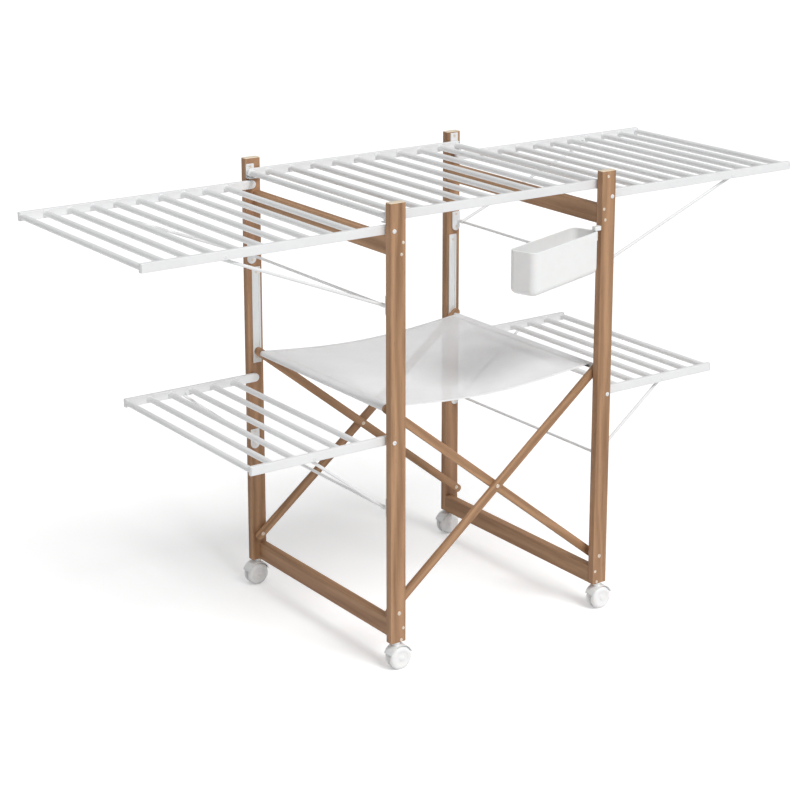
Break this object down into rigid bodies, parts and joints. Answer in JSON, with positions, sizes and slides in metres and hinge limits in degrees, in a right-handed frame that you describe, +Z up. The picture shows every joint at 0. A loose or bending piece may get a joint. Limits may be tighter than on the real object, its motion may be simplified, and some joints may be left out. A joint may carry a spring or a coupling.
{
  "type": "tower clothes airer",
  "caption": "Folding wooden tower clothes airer on castors, with hinged white racks at two levels and on top, a sling shelf and a swing-out peg caddy.",
  "frame": {"origin": "middle of the open airer's footprint box at floor level, with the castors standing on it", "axes": "+X to the right along the racks, +Y from the front (the caddy's side) to the back, +Z up"},
  "size_m": [1.6, 0.6326, 0.958],
  "materials": {
    "wood": "walnut-brown stained hardwood with a satin oil",
    "rack_white": "white satin coating over thin tube",
    "white_steel": "white paint over steel wire and sheet",
    "zinc": "zinc-plated bolts",
    "sling": "thin white woven polyester, slightly see-through",
    "caddy_white": "white moulded plastic, satin",
    "castor_white": "white moulded plastic"
  },
  "bodies": {
    "left_frame": {"top_rail_left": "wood", "bottom_rail_left": "wood", "post_left_front": "wood", "guide_track_left_front": "castor_white", "brace_bolt_left_front": "zinc", "strut_plate_upper_left_front": "white_steel", "strut_plate_lower_left_front": "white_steel", "post_left_rear": "wood", "guide_track_left_rear": "castor_white", "brace_bolt_left_rear": "zinc", "strut_plate_upper_left_rear": "white_steel", "strut_plate_lower_left_rear": "white_steel", "rack_pivot_plate_front": "white_steel", "rack_pivot_plate_rear": "white_steel"},
    "right_frame": {"top_rail_right": "wood", "bottom_rail_right": "wood", "post_right_front": "wood", "guide_track_right_front": "castor_white", "brace_bolt_right_front": "zinc", "strut_plate_upper_right_front": "white_steel", "strut_plate_lower_right_front": "white_steel", "post_right_rear": "wood", "guide_track_right_rear": "castor_white", "brace_bolt_right_rear": "zinc", "strut_plate_upper_right_rear": "white_steel", "strut_plate_lower_right_rear": "white_steel", "rack_hook_front": "white_steel", "rack_hook_rear": "white_steel", "caddy_bracket": "castor_white"},
    "brace_a": {"brace_a_front": "wood", "brace_a_rear": "wood", "brace_pin_front": "zinc", "brace_pin_rear": "zinc", "shelf_rod_right": "white_steel"},
    "brace_b": {"brace_b_front": "wood", "brace_b_rear": "wood", "shelf_rod_left": "white_steel", "shelf_spacer_front": "castor_white", "shelf_spacer_rear": "castor_white", "shelf_fabric": "sling"},
    "castor_left_front": {"castor_left_front": "castor_white"},
    "wheels_left_front": {"castor_wheels_left_front": "castor_white"},
    "castor_left_rear": {"castor_left_rear": "castor_white"},
    "wheels_left_rear": {"castor_wheels_left_rear": "castor_white"},
    "rack_upper_left": {"rack_upper_left": "rack_white"},
    "strut_upper_left": {"strut_upper_left": "white_steel"},
    "rack_lower_left": {"rack_lower_left": "rack_white"},
    "strut_lower_left": {"strut_lower_left": "white_steel"},
    "castor_right_front": {"castor_right_front": "castor_white"},
    "wheels_right_front": {"castor_wheels_right_front": "castor_white"},
    "castor_right_rear": {"castor_right_rear": "castor_white"},
    "wheels_right_rear": {"castor_wheels_right_rear": "castor_white"},
    "rack_upper_right": {"rack_upper_right": "rack_white"},
    "strut_upper_right": {"strut_upper_right": "white_steel"},
    "rack_lower_right": {"rack_lower_right": "rack_white"},
    "strut_lower_right": {"strut_lower_right": "white_steel"},
    "rack_centre": {"rack_centre": "rack_white"},
    "caddy": {"caddy": "caddy_white"}
  },
  "joints": [
    {"name": "left_racks_fold", "type": "hinge", "parent": "left_frame", "child": "rack_upper_left", "pos_m": [-0.271, 0.0352, 0.903], "axis": [0, -1, 0], "range_deg": [0, 82.5]},
    {"name": "rack_lower_left_fold", "type": "hinge", "parent": "left_frame", "child": "rack_lower_left", "pos_m": [-0.271, 0.0352, 0.48], "axis": [0, -1, 0], "range_deg": [0, 82.5]},
    {"name": "strut_upper_left_fold", "type": "hinge", "parent": "left_frame", "child": "strut_upper_left", "pos_m": [-0.275, 0.0352, 0.752], "axis": [0, -1, 0], "range_deg": [0, 106.06]},
    {"name": "strut_lower_left_fold", "type": "hinge", "parent": "left_frame", "child": "strut_lower_left", "pos_m": [-0.275, 0.0352, 0.339], "axis": [0, -1, 0], "range_deg": [0, 121.84]},
    {"name": "right_racks_fold", "type": "hinge", "parent": "right_frame", "child": "rack_upper_right", "pos_m": [0.271, 0.0352, 0.903], "axis": [0, 1, 0], "range_deg": [0, 82.5]},
    {"name": "rack_lower_right_fold", "type": "hinge", "parent": "right_frame", "child": "rack_lower_right", "pos_m": [0.271, 0.0352, 0.48], "axis": [0, 1, 0], "range_deg": [0, 82.5]},
    {"name": "strut_upper_right_fold", "type": "hinge", "parent": "right_frame", "child": "strut_upper_right", "pos_m": [0.275, 0.0352, 0.752], "axis": [0, 1, 0], "range_deg": [0, 106.06]},
    {"name": "strut_lower_right_fold", "type": "hinge", "parent": "right_frame", "child": "strut_lower_right", "pos_m": [0.275, 0.0352, 0.339], "axis": [0, 1, 0], "range_deg": [0, 121.84]},
    {"name": "frame_fold", "type": "hinge", "parent": "left_frame", "child": "brace_a", "pos_m": [-0.26, 0.0352, 0.1205], "axis": [0, -1, 0], "range_deg": [0, 42], "deforming": ["shelf_fabric"]},
    {"name": "brace_cross", "type": "hinge", "parent": "brace_a", "child": "brace_b", "pos_m": [0, 0.0352, 0.32775], "axis": [0, -1, 0], "range_deg": [-84.2, 0]},
    {"name": "right_frame_fold", "type": "hinge", "parent": "brace_b", "child": "right_frame", "pos_m": [0.26, 0.0352, 0.1205], "axis": [0, -1, 0], "range_deg": [0, 42.2]},
    {"name": "centre_rack_lift", "type": "hinge", "parent": "left_frame", "child": "rack_centre", "pos_m": [-0.271, 0.0352, 0.928], "axis": [0, -1, 0], "range_deg": [0, 100]},
    {"name": "caddy_swing", "type": "hinge", "parent": "right_frame", "child": "caddy", "pos_m": [0.232, -0.2348, 0.8], "axis": [0, 0, 1], "range_deg": [0, 80.2]},
    {"name": "castor_left_front_swivel", "type": "hinge", "parent": "left_frame", "child": "castor_left_front", "pos_m": [-0.262, -0.2313, 0.05], "axis": [0, 0, 1], "continuous": true},
    {"name": "castor_left_front_roll", "type": "hinge", "parent": "castor_left_front", "child": "wheels_left_front", "pos_m": [-0.257, -0.2313, 0.0245], "axis": [0, 1, 0], "continuous": true},
    {"name": "castor_left_rear_swivel", "type": "hinge", "parent": "left_frame", "child": "castor_left_rear", "pos_m": [-0.262, 0.3017, 0.05], "axis": [0, 0, 1], "continuous": true},
    {"name": "castor_left_rear_roll", "type": "hinge", "parent": "castor_left_rear", "child": "wheels_left_rear", "pos_m": [-0.267, 0.3017, 0.0245], "axis": [0, 1, 0], "continuous": true},
    {"name": "castor_right_front_swivel", "type": "hinge", "parent": "right_frame", "child": "castor_right_front", "pos_m": [0.262, -0.2313, 0.05], "axis": [0, 0, 1], "continuous": true},
    {"name": "castor_right_front_roll", "type": "hinge", "parent": "castor_right_front", "child": "wheels_right_front", "pos_m": [0.267, -0.2313, 0.0245], "axis": [0, 1, 0], "continuous": true},
    {"name": "castor_right_rear_swivel", "type": "hinge", "parent": "right_frame", "child": "castor_right_rear", "pos_m": [0.262, 0.3017, 0.05], "axis": [0, 0, 1], "continuous": true},
    {"name": "castor_right_rear_roll", "type": "hinge", "parent": "castor_right_rear", "child": "wheels_right_rear", "pos_m": [0.257, 0.3017, 0.0245], "axis": [0, 1, 0], "continuous": true}
  ],
  "couplings": [
    {"joint": "rack_lower_left_fold", "follows": "left_racks_fold", "ratio": 1},
    {"joint": "strut_upper_left_fold", "follows": "left_racks_fold", "ratio": 1.2831},
    {"joint": "strut_lower_left_fold", "follows": "left_racks_fold", "ratio": 1.4744},
    {"joint": "rack_lower_right_fold", "follows": "right_racks_fold", "ratio": 1},
    {"joint": "strut_upper_right_fold", "follows": "right_racks_fold", "ratio": 1.2831},
    {"joint": "strut_lower_right_fold", "follows": "right_racks_fold", "ratio": 1.4744},
    {"joint": "brace_cross", "follows": "frame_fold", "ratio": -2},
    {"joint": "right_frame_fold", "follows": "frame_fold", "ratio": 1},
    {"joint": "caddy_swing", "follows": "frame_fold", "ratio": 1.9048}
  ]
}
